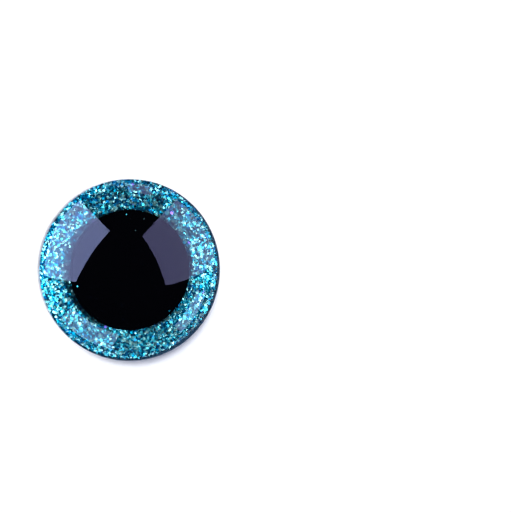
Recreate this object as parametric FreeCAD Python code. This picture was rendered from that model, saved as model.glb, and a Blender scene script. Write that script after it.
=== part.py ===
import FreeCAD, Part
import math
import os

# A 20 mm glitter safety eye for stuffed toys, in millimetres. It has four pieces: a clear moulded
# dome with a stepped recess in its back, a black pupil moulded in one with its ribbed stem, a disc
# of glitter cloth punched to slide over the stem, and a push-on lock washer.
# The eye looks up along +Z and its stem points down. The origin is on the stem's axis, in the plane
# of the dome's back rim, where the toy's fabric lies.

# Clear dome
eye_diameter = 20.0
side_wall_height = 2.6      # straight wall from the back rim to the foot of the dome
dome_rise = 4.2             # height of the domed front above the straight wall
rim_width = 0.3             # back rim left round the glitter disc
rim_round = 0.1             # round on the outer back edge
shoulder_round = 0.15       # round where the dome meets the straight wall

# Glitter disc
disc_thickness = 0.55
disc_set_back = 0.3         # how far the cloth stays inside the back rim
disc_side_gap = 0.05        # between the cloth's edge and the recess wall
disc_hole_gap = 0.1         # between the punched hole and the widest part of the stem

# Pupil head
pupil_diameter = 11.7
pupil_thickness = 1.2
pupil_edge_round = 0.12
glue_gap = 0.05             # glue line between the dome and what sits in its back

# Stem
core_diameter = 4.4         # between the ribs
neck_step = 0.3             # the plain neck behind the head stands this far above the core
first_rib = 1.6             # from the back rim's plane to the first rib
rib_height = 0.5
rib_land = 0.25             # flat crest
rib_ramp = 0.6              # slope towards the stem's end
rib_gap = 0.45              # core left bare before the next rib
rib_count = 7
pilot_length = 2.0          # plain end of the stem, past the last rib
tip_taper_length = 0.75
tip_taper_step = 0.7

# Lock washer
flange_diameter = 14.0
flange_thickness = 1.0
flange_round = 0.3
collar_height = 1.4         # raised centre above the flange
collar_wall = 1.1           # at the collar's foot
collar_taper = 0.5          # the collar's top is this much narrower in radius
collar_foot_round = 0.4
relief_gap = 0.6            # between the ribs and the collar's hollow
tongue_dish = 0.35          # the tongues rise this much towards the stem's end
tongue_gap = 0.08           # between the tongues' tips and the stem's core
catch_gap = 0.05            # between the tongues and the ribs before and behind them
slit_count = 6
slit_width = 0.5
least_fabric_gap = 1.5      # room for the toy's fabric between rim and washer

# Worked out from the sizes above
eye_radius = eye_diameter / 2
recess_radius = eye_radius - rim_width
recess_depth = disc_set_back + disc_thickness + glue_gap
pupil_radius = pupil_diameter / 2
core_radius = core_diameter / 2
neck_radius = core_radius + neck_step
crest_radius = core_radius + rib_height
stem_widest_radius = max(neck_radius, crest_radius)
rib_pitch = rib_land + rib_ramp + rib_gap
washer_height = flange_thickness + collar_height
tongue_thickness = rib_gap - 2 * catch_gap


def at(radius, z):
    """A point of a half profile: its distance from the stem's axis, and its height."""
    return FreeCAD.Vector(radius, 0, z)


def lines_through(points):
    return [Part.LineSegment(start, end).toShape() for start, end in zip(points, points[1:])]


def turned(edges):
    """The solid that a closed half profile sweeps round the stem's axis."""
    profile = Part.Face(Part.Wire(Part.__sortEdges__(edges)))
    return profile.revolve(FreeCAD.Vector(0, 0, 0), FreeCAD.Vector(0, 0, 1), 360)


def turned_polygon(points):
    return turned(lines_through(points + points[:1]))


def rounded(solid, radius, z, fillet):
    """Rounds the circular edge that has this radius and lies at this height."""
    place = 1e-4

    def is_the_edge(edge):
        if edge.Degenerated or not isinstance(edge.Curve, Part.Circle):
            return False
        return abs(edge.Curve.Radius - radius) < place and abs(edge.Curve.Center.z - z) < place

    return solid.makeFillet(fillet, [edge for edge in solid.Edges if is_the_edge(edge)])


def clear_dome():
    """A shallow dome on a short wall, hollowed behind for the cloth and deeper for the pupil."""
    pocket_radius = pupil_radius + glue_gap
    pocket_z = recess_depth + pupil_thickness + glue_gap
    foot_z = side_wall_height
    top_z = foot_z + dome_rise
    sphere_radius = (eye_radius ** 2 + dome_rise ** 2) / (2 * dome_rise)
    half_angle = math.asin(eye_radius / sphere_radius) / 2
    on_dome = at(sphere_radius * math.sin(half_angle),
                 top_z - sphere_radius * (1 - math.cos(half_angle)))
    back_and_wall = lines_through([
        at(0, top_z),
        at(0, pocket_z),
        at(pocket_radius, pocket_z),
        at(pocket_radius, recess_depth),
        at(recess_radius, recess_depth),
        at(recess_radius, 0),
        at(eye_radius, 0),
        at(eye_radius, foot_z),
    ])
    domed_front = Part.Arc(at(eye_radius, foot_z), on_dome, at(0, top_z)).toShape()
    solid = turned(back_and_wall + [domed_front])
    solid = rounded(solid, eye_radius, 0, rim_round)
    return rounded(solid, eye_radius, foot_z, shoulder_round)


def rib_points(depth):
    """One rib: upright on the side of the head, sloping towards the stem's end."""
    return [
        at(core_radius, -depth),
        at(crest_radius, -depth),
        at(crest_radius, -depth - rib_land),
        at(core_radius, -depth - rib_land - rib_ramp),
    ]


def pupil_stem():
    """The black pupil and its stem, with ribs that let the washer on and don't let it off."""
    face_z = recess_depth + pupil_thickness
    neck_end_z = rib_gap - first_rib
    last_rib_end_z = rib_gap - first_rib - rib_count * rib_pitch
    taper_z = last_rib_end_z - pilot_length
    points = [
        at(0, face_z),
        at(pupil_radius, face_z),
        at(pupil_radius, recess_depth),
        at(neck_radius, recess_depth),
        at(neck_radius, neck_end_z),
        at(core_radius, neck_end_z),
    ]
    for index in range(rib_count):
        points += rib_points(first_rib + index * rib_pitch)
    points += [
        at(core_radius, taper_z),
        at(core_radius - tip_taper_step, taper_z - tip_taper_length),
        at(0, taper_z - tip_taper_length),
    ]
    return rounded(turned_polygon(points), pupil_radius, face_z, pupil_edge_round)


def glitter_disc():
    """Cloth punched to fit the recess outside and to pass the ribs inside."""
    outer_radius = recess_radius - disc_side_gap
    hole_radius = stem_widest_radius + disc_hole_gap
    front_z = recess_depth - glue_gap
    back_z = front_z - disc_thickness
    return turned_polygon([
        at(hole_radius, front_z),
        at(outer_radius, front_z),
        at(outer_radius, back_z),
        at(hole_radius, back_z),
    ])


def washer_depth():
    """How far behind the rim the washer starts when its tongues catch on the nearest rib."""
    reach = least_fabric_gap + washer_height + catch_gap - first_rib
    catching_rib = math.ceil(reach / rib_pitch)
    return first_rib + catching_rib * rib_pitch - catch_gap - washer_height


def lock_washer():
    """A flange with a raised collar, closed by springy tongues that bite behind a rib."""
    relief_radius = stem_widest_radius + relief_gap
    collar_foot_radius = relief_radius + collar_wall
    flange_radius = flange_diameter / 2
    tongue_radius = core_radius + tongue_gap
    front_z = -washer_depth()
    flange_z = front_z - flange_thickness
    end_z = front_z - washer_height
    tongue_z = end_z + tongue_thickness
    solid = turned_polygon([
        at(relief_radius, front_z),
        at(flange_radius, front_z),
        at(flange_radius, flange_z),
        at(collar_foot_radius, flange_z),
        at(collar_foot_radius - collar_taper, end_z),
        at(tongue_radius, end_z),
        at(tongue_radius, tongue_z),
        at(relief_radius, tongue_z + tongue_dish),
    ])
    solid = rounded(solid, flange_radius, flange_z, flange_round)
    solid = rounded(solid, collar_foot_radius, flange_z, collar_foot_round)
    slit = Part.makeBox(relief_radius, slit_width, washer_height,
                        FreeCAD.Vector(0, -slit_width / 2, end_z))
    for index in range(slit_count):
        placed = slit.copy()
        placed.rotate(FreeCAD.Vector(0, 0, 0), FreeCAD.Vector(0, 0, 1), index * 360 / slit_count)
        solid = solid.cut(placed)
    return solid


nodes = {
    "clear_dome": clear_dome(),
    "pupil_stem": pupil_stem(),
    "glitter_disc": glitter_disc(),
    "lock_washer": lock_washer(),
}

os.makedirs("parts", exist_ok=True)
for name, shape in nodes.items():
    shape.exportStep(f"parts/{name}.step")
    print(name, "solids", len(shape.Solids), "valid", shape.isValid(), "mm3", round(shape.Volume, 2))
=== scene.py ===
import math
import random
import bpy
from mathutils import Matrix, Vector, noise


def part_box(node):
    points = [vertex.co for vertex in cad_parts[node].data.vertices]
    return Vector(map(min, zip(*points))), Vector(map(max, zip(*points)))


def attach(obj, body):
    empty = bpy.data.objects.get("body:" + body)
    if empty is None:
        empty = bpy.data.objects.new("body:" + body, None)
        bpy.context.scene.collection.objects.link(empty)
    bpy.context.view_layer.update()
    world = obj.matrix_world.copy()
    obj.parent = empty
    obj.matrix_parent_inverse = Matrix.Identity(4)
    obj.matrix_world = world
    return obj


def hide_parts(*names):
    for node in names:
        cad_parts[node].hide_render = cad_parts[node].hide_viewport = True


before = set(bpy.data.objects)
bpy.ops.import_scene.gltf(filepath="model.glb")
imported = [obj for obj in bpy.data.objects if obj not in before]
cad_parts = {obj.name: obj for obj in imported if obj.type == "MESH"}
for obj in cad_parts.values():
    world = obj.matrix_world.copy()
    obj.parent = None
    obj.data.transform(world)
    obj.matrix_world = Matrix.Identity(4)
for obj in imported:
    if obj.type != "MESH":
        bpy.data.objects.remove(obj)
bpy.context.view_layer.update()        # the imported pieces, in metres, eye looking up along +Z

mm = 0.001
mergeDistance = 0.0005 * mm
innerRing = 0.5          # where a flat end has its inner ring of edges, as a share of its radius
print("frame loaded:", ", ".join(sorted(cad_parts)))

# Sizes read from the frame
domeLow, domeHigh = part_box("clear_dome")
stemLow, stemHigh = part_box("pupil_stem")
clothLow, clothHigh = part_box("glitter_disc")
washerLow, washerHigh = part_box("lock_washer")
eyeRadius = domeHigh.x
pupilRadius = stemHigh.x
clothRadius = clothHigh.x
washerRadius = washerHigh.x


# Small helpers

def clearSelection():
    if bpy.context.object and bpy.context.object.mode != "OBJECT":
        bpy.ops.object.mode_set(mode="OBJECT")
    bpy.ops.object.select_all(action="DESELECT")


def startRing(name, radius, height, segments, fill):
    # a circle at its height on the stem's axis, left in edit mode with its outline selected
    clearSelection()
    bpy.ops.mesh.primitive_circle_add(vertices=segments, radius=radius, fill_type=fill,
                                      location=(0, 0, height))
    bpy.ops.object.transform_apply(location=True)
    piece = bpy.context.object
    piece.name = name
    bpy.ops.object.mode_set(mode="EDIT")
    bpy.ops.mesh.select_mode(type="EDGE")
    bpy.ops.mesh.select_all(action="SELECT")
    if fill != "NOTHING":
        bpy.ops.mesh.region_to_loop()
    return piece


def turnOutline(name, outline, segments, fill="TRIFAN", closing="tip"):
    # extrudes the ring along the outline, scaled to each radius, as on a lathe
    radius, height = outline[0]
    piece = startRing(name, radius, height, segments, fill)
    for nextRadius, nextHeight in outline[1:]:
        bpy.ops.mesh.extrude_region_move(
            TRANSFORM_OT_translate={"value": (0, 0, nextHeight - height)})
        grow = nextRadius / radius
        bpy.ops.transform.resize(value=(grow, grow, 1), center_override=(0, 0, nextHeight))
        radius, height = nextRadius, nextHeight
    if closing == "tip":
        bpy.ops.mesh.extrude_region_move()
        bpy.ops.mesh.merge(type="CENTER")
    bpy.ops.mesh.select_all(action="SELECT")
    bpy.ops.mesh.remove_doubles(threshold=mergeDistance)
    bpy.ops.mesh.normals_make_consistent(inside=False)
    bpy.ops.object.mode_set(mode="OBJECT")
    return piece


def arcPoints(centre, radius, start, stop, steps):
    # points of an arc in the outline, angles in degrees from the outward direction
    points = []
    for step in range(steps + 1):
        angle = math.radians(start + (stop - start) * step / steps)
        points.append((centre[0] + radius * math.cos(angle), centre[1] + radius * math.sin(angle)))
    return points


def bevelEdges(piece, width, segments=3, angle=28):
    bevel = piece.modifiers.new("softEdges", "BEVEL")
    bevel.width = width
    bevel.segments = segments
    bevel.limit_method = "ANGLE"
    bevel.angle_limit = math.radians(angle)
    bevel.harden_normals = False
    applyModifier(piece, bevel)


def applyModifier(piece, modifier):
    clearSelection()
    bpy.context.view_layer.objects.active = piece
    piece.select_set(True)
    bpy.ops.object.modifier_apply(modifier=modifier.name)


def smoothShade(piece, angle=40):
    clearSelection()
    bpy.context.view_layer.objects.active = piece
    piece.select_set(True)
    bpy.ops.object.shade_smooth_by_angle(angle=math.radians(angle))


# Node helpers

def newMaterial(name):
    material = bpy.data.materials.new(name)
    material.use_nodes = True
    tree = material.node_tree
    tree.nodes.clear()
    return material, tree


def addNode(tree, kind, place, **settings):
    node = tree.nodes.new(kind)
    node.location = place
    for name, value in settings.items():
        setattr(node, name, value)
    return node


def setInputs(node, values):
    for name, value in values.items():
        node.inputs[name].default_value = value


def addOutput(tree, shaderSocket, place=(900, 0)):
    output = addNode(tree, "ShaderNodeOutputMaterial", place)
    tree.links.new(shaderSocket, output.inputs["Surface"])


# Moulded skin: the fine ripple, hairlines and dull spots that moulded plastic has

def makeMouldedSkin():
    group = bpy.data.node_groups.new("mouldedSkin", "ShaderNodeTree")
    for name, kind, value in (("Ripple Size", "NodeSocketFloat", 300.0),
                              ("Ripple Depth", "NodeSocketFloat", 0.1),
                              ("Hairlines", "NodeSocketFloat", 0.1),
                              ("Roughness", "NodeSocketFloat", 0.1),
                              ("Roughness Spread", "NodeSocketFloat", 0.05)):
        socket = group.interface.new_socket(name, in_out="INPUT", socket_type=kind)
        socket.default_value = value
    group.interface.new_socket("Normal", in_out="OUTPUT", socket_type="NodeSocketVector")
    group.interface.new_socket("Roughness", in_out="OUTPUT", socket_type="NodeSocketFloat")
    links = group.links
    inlet = addNode(group, "NodeGroupInput", (-900, 0))
    outlet = addNode(group, "NodeGroupOutput", (700, 0))
    place = addNode(group, "ShaderNodeTexCoord", (-900, 300))
    ripple = addNode(group, "ShaderNodeTexNoise", (-600, 250))
    setInputs(ripple, {"Detail": 2.0, "Roughness": 0.5})
    links.new(place.outputs["Object"], ripple.inputs["Vector"])
    links.new(inlet.outputs["Ripple Size"], ripple.inputs["Scale"])
    rippleBump = addNode(group, "ShaderNodeBump", (-300, 250))
    rippleBump.inputs["Distance"].default_value = 0.05 * mm
    links.new(inlet.outputs["Ripple Depth"], rippleBump.inputs["Strength"])
    links.new(ripple.outputs["Fac"], rippleBump.inputs["Height"])
    stretch = addNode(group, "ShaderNodeMapping", (-700, -150))
    stretch.inputs["Rotation"].default_value = (0.3, 0.2, 0.7)
    stretch.inputs["Scale"].default_value = (180, 9000, 2500)
    links.new(place.outputs["Object"], stretch.inputs["Vector"])
    hair = addNode(group, "ShaderNodeTexNoise", (-500, -150))
    setInputs(hair, {"Scale": 1.0, "Detail": 1.0})
    links.new(stretch.outputs["Vector"], hair.inputs["Vector"])
    hairMask = addNode(group, "ShaderNodeMapRange", (-300, -150))
    setInputs(hairMask, {"From Min": 0.66, "From Max": 0.72, "To Min": 0.0, "To Max": 1.0})
    links.new(hair.outputs["Fac"], hairMask.inputs["Value"])
    hairBump = addNode(group, "ShaderNodeBump", (0, 150), invert=True)
    hairBump.inputs["Distance"].default_value = 0.003 * mm
    links.new(inlet.outputs["Hairlines"], hairBump.inputs["Strength"])
    links.new(hairMask.outputs["Result"], hairBump.inputs["Height"])
    links.new(rippleBump.outputs["Normal"], hairBump.inputs["Normal"])
    links.new(hairBump.outputs["Normal"], outlet.inputs["Normal"])
    patches = addNode(group, "ShaderNodeTexNoise", (-300, -400))
    setInputs(patches, {"Scale": 700.0, "Detail": 3.0})
    links.new(place.outputs["Object"], patches.inputs["Vector"])
    spread = addNode(group, "ShaderNodeMath", (0, -350), operation="MULTIPLY")
    links.new(patches.outputs["Fac"], spread.inputs[0])
    links.new(inlet.outputs["Roughness Spread"], spread.inputs[1])
    total = addNode(group, "ShaderNodeMath", (250, -250), operation="ADD")
    links.new(inlet.outputs["Roughness"], total.inputs[0])
    links.new(spread.outputs[0], total.inputs[1])
    links.new(total.outputs[0], outlet.inputs["Roughness"])
    return group


mouldedSkin = makeMouldedSkin()


def addSkin(tree, place, values):
    skin = addNode(tree, "ShaderNodeGroup", place, node_tree=mouldedSkin)
    setInputs(skin, values)
    return skin


# Clear dome

dome = {
    "sideWallHeight": 2.6 * mm,
    "clothGap": 0.01 * mm,
    "pocketSlack": 0.01 * mm,       # how far off the pocket's walls a face still counts as one
    "glueGap": 0.05 * mm,
    "rimRound": 0.1 * mm,
    "segments": 256,
    "arcSteps": 72,
    "arcEnd": 89.4,         # degrees, just short of the top, where the tip closes it
    "edgeSoftness": 0.02 * mm,
    "ior": 1.49,
    "roughness": 0.012,
    "roughnessSpread": 0.01,
    "ripple": (260.0, 0.04),        # how close and how deep
    "tint": (0.985, 0.99, 1.0, 1),
    "edgeShadeTint": (0.45, 0.58, 0.80, 1),      # painted shade: the side wall's plastic is tinted a darker blue, standing in for the shadowed floor seen through it
    "shadowTint": (0.93, 0.95, 0.96, 1),
    "bondedBlack": (0.0004, 0.0004, 0.0006, 1),
    # painted reflection tint: the plastic's reflections are tinted blue-violet, standing in for the
    # lamps' colour
    "paintedSheen": (0.56, 0.52, 1.0, 1),
    "shoulderShadedSheen": (0.05, 0.16, 0.34, 1),     # painted shade: the dome's steep foot gets a dark blue reflection tint, so it mirrors less of the floor
    "shoulderRadius": 9.4 * mm,
}


def makeClearPlastic(name, tint, paintedSheen):
    material, tree = newMaterial(name)
    skin = addSkin(tree, (-300, 0), {"Ripple Size": dome["ripple"][0],
                                     "Ripple Depth": dome["ripple"][1], "Hairlines": 0.0,
                                     "Roughness": dome["roughness"],
                                     "Roughness Spread": dome["roughnessSpread"]})
    plastic = addNode(tree, "ShaderNodeBsdfPrincipled", (0, 0))
    # the Specular Tint paints a colour into the plastic's reflections
    setInputs(plastic, {"Base Color": tint, "Transmission Weight": 1.0, "IOR": dome["ior"],
                        "Specular Tint": paintedSheen})
    tree.links.new(skin.outputs["Normal"], plastic.inputs["Normal"])
    tree.links.new(skin.outputs["Roughness"], plastic.inputs["Roughness"])
    path = addNode(tree, "ShaderNodeLightPath", (0, 400))
    through = addNode(tree, "ShaderNodeBsdfTransparent", (0, -500))
    through.inputs["Color"].default_value = dome["shadowTint"]
    letLampsIn = addNode(tree, "ShaderNodeMixShader", (500, 0))
    tree.links.new(path.outputs["Is Shadow Ray"], letLampsIn.inputs["Fac"])
    tree.links.new(plastic.outputs["BSDF"], letLampsIn.inputs[1])
    tree.links.new(through.outputs["BSDF"], letLampsIn.inputs[2])
    addOutput(tree, letLampsIn.outputs["Shader"])
    return material


def makeBondedBlack():
    # the pupil seen from inside the clear plastic that is bonded to it, so with no gloss of its own
    material, tree = newMaterial("bondedBlack")
    black = addNode(tree, "ShaderNodeBsdfPrincipled", (0, 0))
    setInputs(black, {"Base Color": dome["bondedBlack"], "Roughness": 1.0,
                      "Specular IOR Level": 0.0})
    addOutput(tree, black.outputs["BSDF"])
    return material


def makeDome():
    foot = dome["sideWallHeight"]
    rise = domeHigh.z - foot
    sphereRadius = (eyeRadius ** 2 + rise ** 2) / (2 * rise)
    halfOpening = math.degrees(math.asin(eyeRadius / sphereRadius))
    recessRadius = clothRadius + dome["clothGap"]
    recessDepth = clothHigh.z + dome["glueGap"]
    pocketRadius = pupilRadius + dome["glueGap"]
    pocketHeight = stemHigh.z + dome["glueGap"]
    outline = [
        (pocketRadius * innerRing, pocketHeight),
        (pocketRadius, pocketHeight),
        (pocketRadius, recessDepth),
        ((pocketRadius + recessRadius) / 2, recessDepth),
        (recessRadius, recessDepth),
        (recessRadius, 0),
    ]
    rim = dome["rimRound"]
    outline += arcPoints((eyeRadius - rim, rim), rim, -90, 0, 6)
    outline += arcPoints((0, domeHigh.z - sphereRadius), sphereRadius,
                         90 - halfOpening, dome["arcEnd"], dome["arcSteps"])
    piece = turnOutline("clearDome", outline, dome["segments"])
    bevelEdges(piece, dome["edgeSoftness"], segments=2)
    smoothShade(piece)
    piece.data.materials.append(makeClearPlastic("clearPlastic", dome["tint"], dome["paintedSheen"]))
    piece.data.materials.append(makeBondedBlack())
    piece.data.materials.append(makeClearPlastic("clearEdgeShaded", dome["edgeShadeTint"], dome["paintedSheen"]))
    piece.data.materials.append(makeClearPlastic("clearFootShaded", dome["tint"], dome["shoulderShadedSheen"]))
    for face in piece.data.polygons:
        radius = Vector(face.center[:2]).length
        inPocket = radius < pocketRadius + dome["pocketSlack"]
        behindFront = face.center.z < pocketHeight + dome["pocketSlack"]
        if inPocket and behindFront:
            face.material_index = 1
        # painted shade: the side wall takes the darker-tinted clear plastic
        elif radius > eyeRadius * 0.99 and face.center.z < foot:
            face.material_index = 2
        # painted shade on the reflection: the steep foot takes the dark reflection tint
        elif radius > dome["shoulderRadius"] and face.center.z > foot:
            face.material_index = 3
    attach(piece, "root")
    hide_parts("clear_dome")
    return piece


clearDome = makeDome()
print("clear dome:", len(clearDome.data.polygons), "faces")


# Glitter flakes and their cloth

glitter = {
    "seed": 20,
    "flakeCount": 14000,
    "flakeRadius": (0.07 * mm, 0.17 * mm),
    "innerRadius": 5.3 * mm,
    "edgeMargin": 0.45 * mm,
    "offCentre": (-0.06 * mm, 0.12 * mm),       # the flakes sit a little off the axis, so the dark bare edge is wider at the right and bottom
    "bareEdge": 0.25 * mm,                      # dark edge of the coating, free of flakes
    "strays": ((0.47, 3.97), (1.36, 5.16), (-0.42, 5.66), (-5.45, -1.6), (3.9, -4.1)),
    "strayLift": 0.13 * mm,                     # above the pupil's face
    "strayTilt": 16.0,
    "layer": (0.55 * mm, 0.83 * mm),
    "lift": 0.02 * mm,                          # how far flakes may stand above the cloth
    "mostLean": 70,
    "tilts": ((4.0, 50), (10.0, 38), (27.0, 12)),       # degrees of lean, and how often
    "ripple": (1400.0, 9.0),                    # the coating's waves: how close, and degrees
    "rippleShifts": ((9.3, 1.5, 7.9), (31.7, 12.4, 43.6)),      # so the two waves don't match
    "patches": (2600.0, 2.4),                   # bright and dark foils gather: how close, how much
}

# each foil's colour and roughness, how often it is met, and how much it keeps to bright patches
foils = {
    "foilTurquoise": ((0.05, 0.53, 0.72, 1), 0.15, 28, 0.5),
    "foilTeal": ((0.0, 0.14, 0.26, 1), 0.17, 32, -0.5),
    "foilIce": ((0.32, 0.86, 1.0, 1), 0.14, 14, 1.0),
    "foilSpark": ((0.44, 0.92, 1.0, 1), 0.10, 17, 1.0),
    "foilAzure": ((0.01, 0.20, 0.45, 1), 0.22, 2, 0.0),
    "foilNavy": ((0.0, 0.03, 0.09, 1), 0.22, 30, -1.0),
    "foilViolet": ((0.20, 0.10, 0.70, 1), 0.25, 0.2, 0.0),
}


def makeFoil(name, colour, roughness):
    material, tree = newMaterial(name)
    foil = addNode(tree, "ShaderNodeBsdfPrincipled", (0, 0))
    setInputs(foil, {"Base Color": colour, "Metallic": 1.0, "Roughness": roughness})
    addOutput(tree, foil.outputs["BSDF"])
    return material


def makeFlakes():
    clearSelection()
    bpy.ops.mesh.primitive_circle_add(vertices=6, radius=1, fill_type="NGON", location=(0, 0, 0))
    flake = bpy.context.object
    corners = [vertex.co.copy() for vertex in flake.data.vertices]
    bpy.data.objects.remove(flake)
    draw = random.Random(glitter["seed"])
    names = list(foils)
    vertices, faces, tones = [], [], []
    smallest, largest = glitter["flakeRadius"]
    outer = clothRadius - glitter["edgeMargin"]
    top = clothHigh.z + glitter["lift"]
    waviness, waveDepth = glitter["ripple"][0], math.radians(glitter["ripple"][1])
    closeness, strength = glitter["patches"]

    def lay(across, along, height, size, tilt):
        lean = math.radians(min(abs(draw.gauss(0, tilt)), glitter["mostLean"]))
        if height < top:
            height = min(height, top - size * math.sin(lean))
        leanWay = Matrix.Rotation(draw.uniform(0, 2 * math.pi), 4, "Z")
        spin = Matrix.Rotation(draw.uniform(0, 2 * math.pi), 4, "Z")
        place = Matrix.Translation((across, along, height))
        spot = Vector((across, along, 0)) * waviness
        waves = [waveDepth * noise.noise(spot + Vector(shift)) for shift in glitter["rippleShifts"]]
        swell = Matrix.Rotation(waves[0], 4, "X") @ Matrix.Rotation(waves[1], 4, "Y")
        leaning = leanWay @ Matrix.Rotation(lean, 4, "X") @ spin
        turn = place @ swell @ leaning @ Matrix.Scale(size, 4)
        first = len(vertices)
        vertices.extend(turn @ corner for corner in corners)
        faces.append(tuple(range(first, first + 6)))
        patch = strength * noise.noise(Vector((across, along, 0)) * closeness)
        weights = [often * math.exp(patch * liking) for _, _, often, liking in foils.values()]
        tones.append(draw.choices(range(len(names)), weights)[0])

    tilts = [tilt for tilt, often in glitter["tilts"]]
    howOften = [often for tilt, often in glitter["tilts"]]
    inner = glitter["innerRadius"]
    for _ in range(glitter["flakeCount"]):
        radius = math.sqrt(draw.uniform(inner ** 2, outer ** 2))
        around = draw.uniform(0, 2 * math.pi)
        across = glitter["offCentre"][0] + radius * math.cos(around)
        along = glitter["offCentre"][1] + radius * math.sin(around)
        tilt = draw.choices(tilts, howOften)[0]
        lay(across, along, draw.uniform(*glitter["layer"]), draw.uniform(smallest, largest), tilt)
    # a few specks were caught between the pupil's face and the dome
    for across, along in glitter["strays"]:
        lay(across * mm, along * mm, stemHigh.z + glitter["strayLift"], smallest,
            glitter["strayTilt"])
    mesh = bpy.data.meshes.new("glitterFlakes")
    mesh.from_pydata(vertices, [], faces)
    for name in names:
        mesh.materials.append(makeFoil(name, *foils[name][:2]))
    mesh.polygons.foreach_set("material_index", tones)
    mesh.update()
    piece = bpy.data.objects.new("glitterFlakes", mesh)
    bpy.context.scene.collection.objects.link(piece)
    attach(piece, "root")
    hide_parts("glitter_disc")
    return piece


glitterFlakes = makeFlakes()
print("glitter flakes:", len(glitterFlakes.data.polygons))


cloth = {
    "holeRadius": 2.8 * mm,
    "segments": 160,
    "grain": 4000.0,
    "colours": ((0.0, 0.006, 0.02, 1), (0.0, 0.045, 0.10, 1)),
    "roughness": 0.8,
    "feltWays": (0.5, 2.1),                     # the way that each layer of fibres lies, in radians
    "feltFibres": (1500, 7000, 1500),
    "feltColours": ((0.56, 0.57, 0.57, 1), (0.78, 0.79, 0.78, 1)),
    "feltRoughness": 0.9,
    "feltDepth": 0.05 * mm,
}


def makeClothMaterial():
    material, tree = newMaterial("glitterGround")
    place = addNode(tree, "ShaderNodeTexCoord", (-900, 0))
    fibre = addNode(tree, "ShaderNodeTexNoise", (-600, 0))
    setInputs(fibre, {"Scale": cloth["grain"], "Detail": 4.0})
    tree.links.new(place.outputs["Object"], fibre.inputs["Vector"])
    ramp = addNode(tree, "ShaderNodeValToRGB", (-300, 0))
    ramp.color_ramp.elements[0].color = cloth["colours"][0]
    ramp.color_ramp.elements[1].color = cloth["colours"][1]
    tree.links.new(fibre.outputs["Fac"], ramp.inputs["Fac"])
    ground = addNode(tree, "ShaderNodeBsdfPrincipled", (0, 0))
    setInputs(ground, {"Roughness": cloth["roughness"], "Specular IOR Level": 0.0})
    tree.links.new(ramp.outputs["Color"], ground.inputs["Base Color"])
    addOutput(tree, ground.outputs["BSDF"])
    return material


def makeClothBack():
    # pressed fibres, long and thin and lying two ways
    material, tree = newMaterial("feltBack")
    place = addNode(tree, "ShaderNodeTexCoord", (-1200, 0))
    ways = []
    for index, turn in enumerate(cloth["feltWays"]):
        stretch = addNode(tree, "ShaderNodeMapping", (-1000, 200 - 400 * index))
        stretch.inputs["Rotation"].default_value = (0, 0, turn)
        stretch.inputs["Scale"].default_value = cloth["feltFibres"]
        tree.links.new(place.outputs["Object"], stretch.inputs["Vector"])
        fibre = addNode(tree, "ShaderNodeTexNoise", (-800, 200 - 400 * index))
        setInputs(fibre, {"Scale": 1.0, "Detail": 3.0, "Distortion": 2.2})
        tree.links.new(stretch.outputs["Vector"], fibre.inputs["Vector"])
        ways.append(fibre)
    weave = addNode(tree, "ShaderNodeMath", (-550, 0), operation="MAXIMUM")
    tree.links.new(ways[0].outputs["Fac"], weave.inputs[0])
    tree.links.new(ways[1].outputs["Fac"], weave.inputs[1])
    shade = addNode(tree, "ShaderNodeValToRGB", (-350, 100))
    shade.color_ramp.elements[0].position = 0.42
    shade.color_ramp.elements[0].color = cloth["feltColours"][0]
    shade.color_ramp.elements[1].position = 0.7
    shade.color_ramp.elements[1].color = cloth["feltColours"][1]
    tree.links.new(weave.outputs[0], shade.inputs["Fac"])
    bump = addNode(tree, "ShaderNodeBump", (-350, -200))
    setInputs(bump, {"Strength": 0.8, "Distance": cloth["feltDepth"]})
    tree.links.new(weave.outputs[0], bump.inputs["Height"])
    felt = addNode(tree, "ShaderNodeBsdfPrincipled", (0, 0))
    setInputs(felt, {"Roughness": cloth["feltRoughness"], "Specular IOR Level": 0.2})
    tree.links.new(shade.outputs["Color"], felt.inputs["Base Color"])
    tree.links.new(bump.outputs["Normal"], felt.inputs["Normal"])
    addOutput(tree, felt.outputs["BSDF"])
    return material


def makeCloth():
    hole = cloth["holeRadius"]
    ground = glitter["layer"][0]
    edge = clothRadius - glitter["bareEdge"]
    outline = [
        (hole, clothLow.z),
        (clothRadius, clothLow.z),
        (clothRadius, clothHigh.z),
        (edge, clothHigh.z),
        (edge, ground),
        (hole, ground),
        (hole, clothLow.z),
    ]
    piece = turnOutline("glitterCloth", outline, cloth["segments"], fill="NOTHING", closing="loop")
    smoothShade(piece)
    piece.data.materials.append(makeClothMaterial())
    piece.data.materials.append(makeClothBack())
    for face in piece.data.polygons:
        if face.normal.z < -0.5:
            face.material_index = 1
    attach(piece, "root")
    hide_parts("glitter_disc")
    return piece


glitterCloth = makeCloth()
print("glitter cloth made")


# Pupil and stem

stem = {
    "neckRadius": 2.5 * mm,
    "coreRadius": 2.2 * mm,
    "ribRadius": 2.7 * mm,
    "firstRib": 1.6 * mm,        # from the rim's plane
    "ribPitch": 1.3 * mm,
    "ribLand": 0.25 * mm,
    "ribRamp": 0.6 * mm,
    "ribCount": 7,
    "ribGap": 0.45 * mm,
    "tipTaper": (0.7 * mm, 0.75 * mm),
    "gateMark": (0.5 * mm, 0.08 * mm),     # radius and depth of the mark where the mould was fed
    "seamWidth": 0.035 * mm,
    "seamHeight": 0.02 * mm,
    "edgeSoftness": 0.03 * mm,
    "segments": 128,
    "colour": (0.012, 0.012, 0.014, 1),
}


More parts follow.
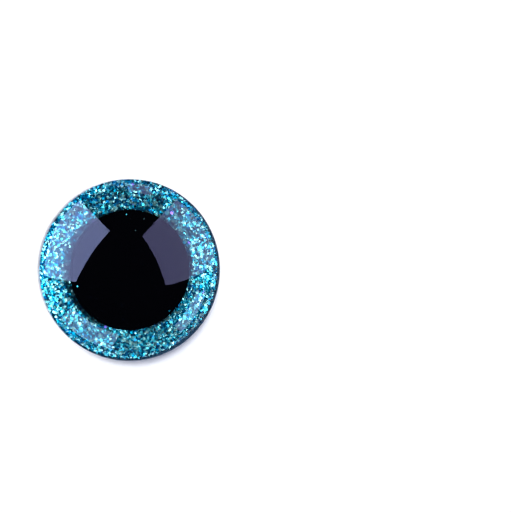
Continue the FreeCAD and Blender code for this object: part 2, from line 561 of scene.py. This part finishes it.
def addSeam(tree, skin, width, height):
    # the mould's parting line, a fine raised line where the stem crosses the plane of X and Z
    place = addNode(tree, "ShaderNodeTexCoord", (-1200, -300))
    parts = addNode(tree, "ShaderNodeSeparateXYZ", (-1000, -300))
    tree.links.new(place.outputs["Object"], parts.inputs["Vector"])
    away = addNode(tree, "ShaderNodeMath", (-800, -300), operation="ABSOLUTE")
    tree.links.new(parts.outputs["Y"], away.inputs[0])
    line = addNode(tree, "ShaderNodeMapRange", (-600, -300))
    setInputs(line, {"From Min": width, "From Max": width * 2, "To Min": 1.0, "To Max": 0.0})
    tree.links.new(away.outputs[0], line.inputs["Value"])
    seam = addNode(tree, "ShaderNodeBump", (-200, -300))
    seam.inputs["Distance"].default_value = height
    tree.links.new(line.outputs["Result"], seam.inputs["Height"])
    tree.links.new(skin.outputs["Normal"], seam.inputs["Normal"])
    return seam.outputs["Normal"]


def makeBlackPlastic():
    material, tree = newMaterial("blackPlastic")
    skin = addSkin(tree, (-600, 100), {"Ripple Size": 900.0, "Ripple Depth": 0.25, "Hairlines": 0.3,
                                       "Roughness": 0.16, "Roughness Spread": 0.16})
    plastic = addNode(tree, "ShaderNodeBsdfPrincipled", (200, 0))
    setInputs(plastic, {"Base Color": stem["colour"], "IOR": 1.5})
    seam = addSeam(tree, skin, stem["seamWidth"], stem["seamHeight"])
    tree.links.new(seam, plastic.inputs["Normal"])
    tree.links.new(skin.outputs["Roughness"], plastic.inputs["Roughness"])
    addOutput(tree, plastic.outputs["BSDF"])
    return material


def makePupilStem():
    backFace = clothHigh.z + dome["glueGap"]
    core = stem["coreRadius"]
    crest = stem["ribRadius"]
    tipStep, tipRise = stem["tipTaper"]
    gateRadius, gateDepth = stem["gateMark"]
    outline = [
        (gateRadius * 0.8, stemLow.z + gateDepth),
        (gateRadius, stemLow.z),
        (core - tipStep, stemLow.z),
        (core, stemLow.z + tipRise),
    ]
    for index in reversed(range(stem["ribCount"])):
        front = -stem["firstRib"] - index * stem["ribPitch"]
        land = front - stem["ribLand"]
        outline += [(core, land - stem["ribRamp"]), (crest, land), (crest, front), (core, front)]
    neckEnd = stem["ribGap"] - stem["firstRib"]
    outline += [
        (core, neckEnd),
        (stem["neckRadius"], neckEnd),
        (stem["neckRadius"], backFace),
        (pupilRadius, backFace),
        (pupilRadius, stemHigh.z),
        (pupilRadius * innerRing, stemHigh.z),
    ]
    piece = turnOutline("pupilStem", outline, stem["segments"])
    bevelEdges(piece, stem["edgeSoftness"])
    smoothShade(piece)
    piece.data.materials.append(makeBlackPlastic())
    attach(piece, "root")
    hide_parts("pupil_stem")
    return piece


pupilStem = makePupilStem()
print("pupil and stem:", len(pupilStem.data.polygons), "faces")


# Lock washer

washer = {
    "flangeThickness": 1.0 * mm,
    "flangeRound": 0.3 * mm,
    "reliefRadius": 3.3 * mm,
    "collarWall": 1.1 * mm,
    "collarTaper": 0.5 * mm,
    "footRound": 0.35 * mm,
    "footInset": 0.05 * mm,         # the round at the collar's foot starts inside its wall
    "tongueRadius": 2.28 * mm,
    "tongueThickness": 0.35 * mm,
    "tongueDish": 0.35 * mm,
    "slitCount": 6,
    "slitWidth": 0.5 * mm,
    "edgeSoftness": 0.05 * mm,
    "segments": 144,
    "colours": ((0.78, 0.79, 0.79, 1), (0.88, 0.89, 0.89, 1)),
}


def makeWhitePlastic():
    material, tree = newMaterial("whitePlastic")
    skin = addSkin(tree, (-300, -100), {"Ripple Size": 1200.0, "Ripple Depth": 0.35,
                                        "Hairlines": 0.2, "Roughness": 0.38,
                                        "Roughness Spread": 0.2})
    place = addNode(tree, "ShaderNodeTexCoord", (-900, 300))
    cloud = addNode(tree, "ShaderNodeTexNoise", (-700, 300))
    setInputs(cloud, {"Scale": 350.0, "Detail": 4.0})
    tree.links.new(place.outputs["Object"], cloud.inputs["Vector"])
    shade = addNode(tree, "ShaderNodeValToRGB", (-450, 300))
    shade.color_ramp.elements[0].position = 0.3
    shade.color_ramp.elements[0].color = washer["colours"][0]
    shade.color_ramp.elements[1].position = 0.6
    shade.color_ramp.elements[1].color = washer["colours"][1]
    tree.links.new(cloud.outputs["Fac"], shade.inputs["Fac"])
    plastic = addNode(tree, "ShaderNodeBsdfPrincipled", (200, 0))
    plastic.inputs["IOR"].default_value = 1.49
    tree.links.new(shade.outputs["Color"], plastic.inputs["Base Color"])
    tree.links.new(skin.outputs["Normal"], plastic.inputs["Normal"])
    tree.links.new(skin.outputs["Roughness"], plastic.inputs["Roughness"])
    addOutput(tree, plastic.outputs["BSDF"])
    return material


def cutSlits(piece):
    # each bar crosses the whole hollow, so it cuts two slits that face each other
    height = washerHigh.z - washerLow.z
    for index in range(washer["slitCount"] // 2):
        clearSelection()
        turn = math.pi * index / (washer["slitCount"] // 2)
        bpy.ops.mesh.primitive_cube_add(size=1, location=(0, 0, washerLow.z), rotation=(0, 0, turn))
        bar = bpy.context.object
        bar.scale = (2 * washer["reliefRadius"], washer["slitWidth"], height)
        bpy.ops.object.transform_apply(location=True, rotation=True, scale=True)
        cut = piece.modifiers.new("slit", "BOOLEAN")
        cut.operation = "DIFFERENCE"
        cut.solver = "EXACT"
        cut.object = bar
        applyModifier(piece, cut)
        bpy.data.objects.remove(bar)


def makeLockWasher():
    front, end = washerHigh.z, washerLow.z
    flangeBack = front - washer["flangeThickness"]
    relief = washer["reliefRadius"]
    foot = relief + washer["collarWall"]
    edge, toe = washer["flangeRound"], washer["footRound"]
    tongueFront = end + washer["tongueThickness"]
    outline = [(relief, front), (washerRadius, front)]
    outline += arcPoints((washerRadius - edge, flangeBack + edge), edge, 0, -90, 5)
    toeMiddle = foot - washer["footInset"] + toe
    outline += arcPoints((toeMiddle, flangeBack - toe), toe, 90, 180, 5)
    outline += [
        (foot - washer["collarTaper"], end),
        (washer["tongueRadius"], end),
        (washer["tongueRadius"], tongueFront),
        (relief, tongueFront + washer["tongueDish"]),
        (relief, front),
    ]
    piece = turnOutline("lockWasher", outline, washer["segments"], fill="NOTHING", closing="loop")
    cutSlits(piece)
    bevelEdges(piece, washer["edgeSoftness"], segments=2, angle=35)
    smoothShade(piece)
    piece.data.materials.append(makeWhitePlastic())
    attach(piece, "root")
    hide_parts("lock_washer")
    return piece


lockWasher = makeLockWasher()
print("lock washer:", len(lockWasher.data.polygons), "faces")


# Floor, world, lamps and camera

studio = {
    "floorSize": 6.0,
    "floorPaint": (0.9, 0.9, 0.92, 1),
    "floorGlow": 0.10,
    "glowColour": (0.78, 0.82, 1.0, 1),
    "room": (0.5, 0.7, 0.9, 1),
    "roomStrength": 0.03,
    "horizon": (0.25, 0.85),        # the backdrop seen through clear plastic fades from the one
                                    # height of a direction to the other
}

# The softboxes, the strip and the two cards shine in glossy things only, and the key and the sky
# panel light the rest. The three glints stand for the light that the dome gathers round its edge,
# and reach the flakes only
lamps = {
    "leftSoftbox": {"place": (-0.2359, 0.0830, 0.1657), "across": (0.623, 0.782, -0.030),
                    "facing": (0.726, -0.592, -0.349), "size": (0.364, 0.247), "power": 2.0,
                    "colour": (0.74, 0.95, 0.98), "shines": True, "lights": "notFlakes"},
    "rightSoftbox": {"place": (0.2352, 0.1022, 0.1557), "across": (-0.398, 0.911, 0.104),
                     "facing": (-0.802, -0.291, -0.521), "size": (0.311, 0.353), "power": 0.96,
                     "colour": (0.85, 0.92, 1.0), "shines": True, "lights": "notFlakes"},
    "topStrip": {"place": (0.069, 0.288, 0.050), "across": (0.97, -0.23, 0.0),
                 "facing": (-0.069, -0.288, -0.050), "size": (0.09, 0.058), "power": 0.04,
                 "colour": (0.85, 0.92, 1.0), "shines": True, "lights": "notFlakes"},
    "lowLeftCard": {"place": (-0.135, -0.248, 0.102), "across": (0.88, -0.47, 0.0),
                    "facing": (0.135, 0.248, -0.102), "size": (0.24, 0.10), "power": 0.28,
                    "colour": (0.74, 1.0, 0.92), "shines": True, "lights": "notFlakes"},
    "lowRightCard": {"place": (0.262, -0.165, 0.064), "across": (0.52, 0.85, 0.0),
                     "facing": (-0.262, 0.165, -0.064), "size": (0.17, 0.07), "power": 0.18,
                     "colour": (0.60, 1.0, 1.0), "shines": True, "lights": "notFlakes"},
    "key": {"kind": "SUN", "place": (-0.102, 0.074, 0.586), "across": (1.0, 0.0, 0.0),
            "facing": (0.102, -0.074, -0.586), "angle": 4.4, "power": 3.15,
            "colour": (1.0, 0.99, 0.95), "shines": False, "lights": "notFlakes"},
    "rightGlint": {"place": (0.229, -0.020, 0.398), "across": (0.0, 1.0, 0.0),
                   "facing": (-0.229, 0.020, -0.398), "size": (0.13, 0.13), "power": 5.7,
                   "colour": (1.0, 0.99, 0.96), "shines": True, "lights": "flakes"},
    "leftGlint": {"place": (-0.145, -0.039, 0.435), "across": (0.0, 1.0, 0.0),
                  "facing": (0.145, 0.039, -0.435), "size": (0.13, 0.13), "power": 4.4,
                  "colour": (1.0, 0.99, 0.96), "shines": True, "lights": "flakes"},
    "highGlint": {"place": (0.060, 0.178, 0.420), "across": (1.0, 0.0, 0.0),
                  "facing": (-0.060, -0.178, -0.420), "size": (0.13, 0.13), "power": 1.8,
                  "colour": (1.0, 0.99, 0.96), "shines": True, "lights": "flakes"},
    "skyPanel": {"place": (0.0, 0.05, 0.5), "across": (1.0, 0.0, 0.0),
                 "facing": (0.0, -0.05, -0.5), "size": (0.7, 0.7), "power": 0.85,
                 "colour": (0.38, 0.43, 1.0), "shines": False, "lights": "notFlakes"},
}


def makeFloor():
    clearSelection()
    size = studio["floorSize"]
    bpy.ops.mesh.primitive_plane_add(size=size, location=(0, 0, stemLow.z))
    floor = bpy.context.object
    floor.name = "floor"
    material, tree = newMaterial("whiteFloor")
    paint = addNode(tree, "ShaderNodeBsdfDiffuse", (0, 0))
    paint.inputs["Color"].default_value = studio["floorPaint"]
    glow = addNode(tree, "ShaderNodeEmission", (0, -200))
    glow.inputs["Color"].default_value = studio["glowColour"]
    path = addNode(tree, "ShaderNodeLightPath", (-600, -200))
    seen = addNode(tree, "ShaderNodeMath", (-400, -200), operation="MAXIMUM")
    seenClear = addNode(tree, "ShaderNodeMath", (-200, -200), operation="MAXIMUM")
    tree.links.new(path.outputs["Is Camera Ray"], seen.inputs[0])
    tree.links.new(path.outputs["Is Transmission Ray"], seen.inputs[1])
    tree.links.new(seen.outputs[0], seenClear.inputs[0])
    tree.links.new(path.outputs["Is Glossy Ray"], seenClear.inputs[1])
    strength = addNode(tree, "ShaderNodeMath", (-100, -400), operation="MULTIPLY")
    strength.inputs[1].default_value = studio["floorGlow"]
    tree.links.new(seenClear.outputs[0], strength.inputs[0])
    tree.links.new(strength.outputs[0], glow.inputs["Strength"])
    both = addNode(tree, "ShaderNodeAddShader", (300, 0))
    tree.links.new(paint.outputs["BSDF"], both.inputs[0])
    tree.links.new(glow.outputs["Emission"], both.inputs[1])
    # from below the floor is clear, so that the back of the eye can be looked at
    side = addNode(tree, "ShaderNodeNewGeometry", (300, 300))
    clear = addNode(tree, "ShaderNodeBsdfTransparent", (300, -250))
    oneSided = addNode(tree, "ShaderNodeMixShader", (550, 0))
    tree.links.new(side.outputs["Backfacing"], oneSided.inputs["Fac"])
    tree.links.new(both.outputs["Shader"], oneSided.inputs[1])
    tree.links.new(clear.outputs["BSDF"], oneSided.inputs[2])
    addOutput(tree, oneSided.outputs["Shader"])
    floor.data.materials.append(material)


def makeWorld():
    world = bpy.data.worlds.new("studio")
    bpy.context.scene.world = world
    world.use_nodes = True
    tree = world.node_tree
    tree.nodes.clear()
    path = addNode(tree, "ShaderNodeLightPath", (-900, 0))
    direction = addNode(tree, "ShaderNodeTexCoord", (-1100, -250))
    parts = addNode(tree, "ShaderNodeSeparateXYZ", (-900, -250))
    tree.links.new(direction.outputs["Generated"], parts.inputs["Vector"])
    low = addNode(tree, "ShaderNodeMapRange", (-700, -250))
    setInputs(low, {"From Min": studio["horizon"][0], "From Max": studio["horizon"][1],
                    "To Min": 1.0, "To Max": 0.0})
    tree.links.new(parts.outputs["Z"], low.inputs["Value"])
    throughGlass = addNode(tree, "ShaderNodeMath", (-500, -150), operation="MULTIPLY")
    tree.links.new(path.outputs["Is Transmission Ray"], throughGlass.inputs[0])
    tree.links.new(low.outputs["Result"], throughGlass.inputs[1])
    seen = addNode(tree, "ShaderNodeMath", (-300, 0), operation="MAXIMUM")
    tree.links.new(path.outputs["Is Camera Ray"], seen.inputs[0])
    tree.links.new(throughGlass.outputs[0], seen.inputs[1])
    white = addNode(tree, "ShaderNodeBackground", (0, 100))
    white.inputs["Color"].default_value = (1, 1, 1, 1)
    room = addNode(tree, "ShaderNodeBackground", (0, -100))
    room.inputs["Color"].default_value = studio["room"]
    room.inputs["Strength"].default_value = studio["roomStrength"]
    both = addNode(tree, "ShaderNodeMixShader", (300, 0))
    tree.links.new(seen.outputs[0], both.inputs["Fac"])
    tree.links.new(room.outputs["Background"], both.inputs[1])
    tree.links.new(white.outputs["Background"], both.inputs[2])
    output = addNode(tree, "ShaderNodeOutputWorld", (600, 0))
    tree.links.new(both.outputs["Shader"], output.inputs["Surface"])


def hideFromFlakes(data):
    # outer surfaces alone mirror the lamp: a ray that has crossed the clear plastic misses it
    data.use_nodes = True
    tree = data.node_tree
    tree.nodes.clear()
    path = addNode(tree, "ShaderNodeLightPath", (-400, 0))
    near = addNode(tree, "ShaderNodeMath", (-200, 0), operation="LESS_THAN")
    near.inputs[1].default_value = 0.5
    tree.links.new(path.outputs["Transmission Depth"], near.inputs[0])
    glow = addNode(tree, "ShaderNodeEmission", (0, 0))
    tree.links.new(near.outputs[0], glow.inputs["Strength"])
    output = addNode(tree, "ShaderNodeOutputLight", (200, 0))
    tree.links.new(glow.outputs["Emission"], output.inputs["Surface"])


def makeLamp(name, lamp):
    data = bpy.data.lights.new(name, lamp.get("kind", "AREA"))
    if "angle" in lamp:
        data.angle = math.radians(lamp["angle"])
    else:
        data.shape = "RECTANGLE"
        data.size, data.size_y = lamp["size"]
    data.energy = lamp["power"]
    data.color = lamp["colour"]
    holder = bpy.data.objects.new(name, data)
    holder.visible_glossy = lamp["shines"]
    holder.visible_transmission = lamp["shines"]
    holder.visible_diffuse = not lamp["shines"]
    lit = bpy.data.collections.new(name + "Lit")
    lit.objects.link(glitterFlakes)
    holder.light_linking.receiver_collection = lit
    if lamp["lights"] == "notFlakes":
        lit.collection_objects[0].light_linking.link_state = "EXCLUDE"
        if lamp["shines"]:
            hideFromFlakes(data)
    bpy.context.scene.collection.objects.link(holder)
    facing = Vector(lamp["facing"]).normalized()
    across = Vector(lamp["across"])
    across = (across - facing * across.dot(facing)).normalized()
    upright = (-facing).cross(across)
    turn = Matrix((across, upright, -facing)).transposed().to_4x4()
    holder.matrix_world = Matrix.Translation(lamp["place"]) @ turn


view = {
    "frameSide": 512,
    "eyePixel": (128.3, 269.4),     # where the eye's middle stands in the photograph
    "eyePixels": 180.7,             # its width there
    "lens": 200,
    "sensor": 36,
    "fromLeft": 7.4,                # degrees that the camera stands to the left of the eye's axis
    "fromAbove": 2.0,               # and towards its top
    "aimHeight": 1.0 * mm,
    "nearest": 0.01,
}


def makeCamera():
    data = bpy.data.cameras.new("camera")
    data.lens = view["lens"]
    data.sensor_width = view["sensor"]
    camera = bpy.data.objects.new("camera", data)
    bpy.context.scene.collection.objects.link(camera)
    pixel = 2 * eyeRadius / view["eyePixels"]
    distance = view["lens"] / view["sensor"] * view["frameSide"] * pixel
    left = math.radians(view["fromLeft"])
    above = math.radians(view["fromAbove"])
    towards = Vector((-math.sin(left) * math.cos(above), math.sin(above),
                      math.cos(left) * math.cos(above)))
    upright = (Vector((0, 1, 0)) - towards * towards.y).normalized()
    across = upright.cross(towards)
    middle = view["frameSide"] / 2
    aim = Vector((0, 0, view["aimHeight"]))
    aim += across * (middle - view["eyePixel"][0]) * pixel
    aim += upright * (view["eyePixel"][1] - middle) * pixel
    place = Vector((0, 0, view["aimHeight"])) + towards * distance
    back = (place - aim).normalized()
    upright = (Vector((0, 1, 0)) - back * back.y).normalized()
    across = upright.cross(back)
    turn = Matrix((across, upright, back)).transposed().to_4x4()
    camera.matrix_world = Matrix.Translation(place) @ turn
    data.clip_start = view["nearest"]
    bpy.context.scene.camera = camera


makeFloor()
makeWorld()
for name, lamp in lamps.items():
    makeLamp(name, lamp)
makeCamera()
bpy.context.scene.view_settings.view_transform = "Standard"
print("studio ready")
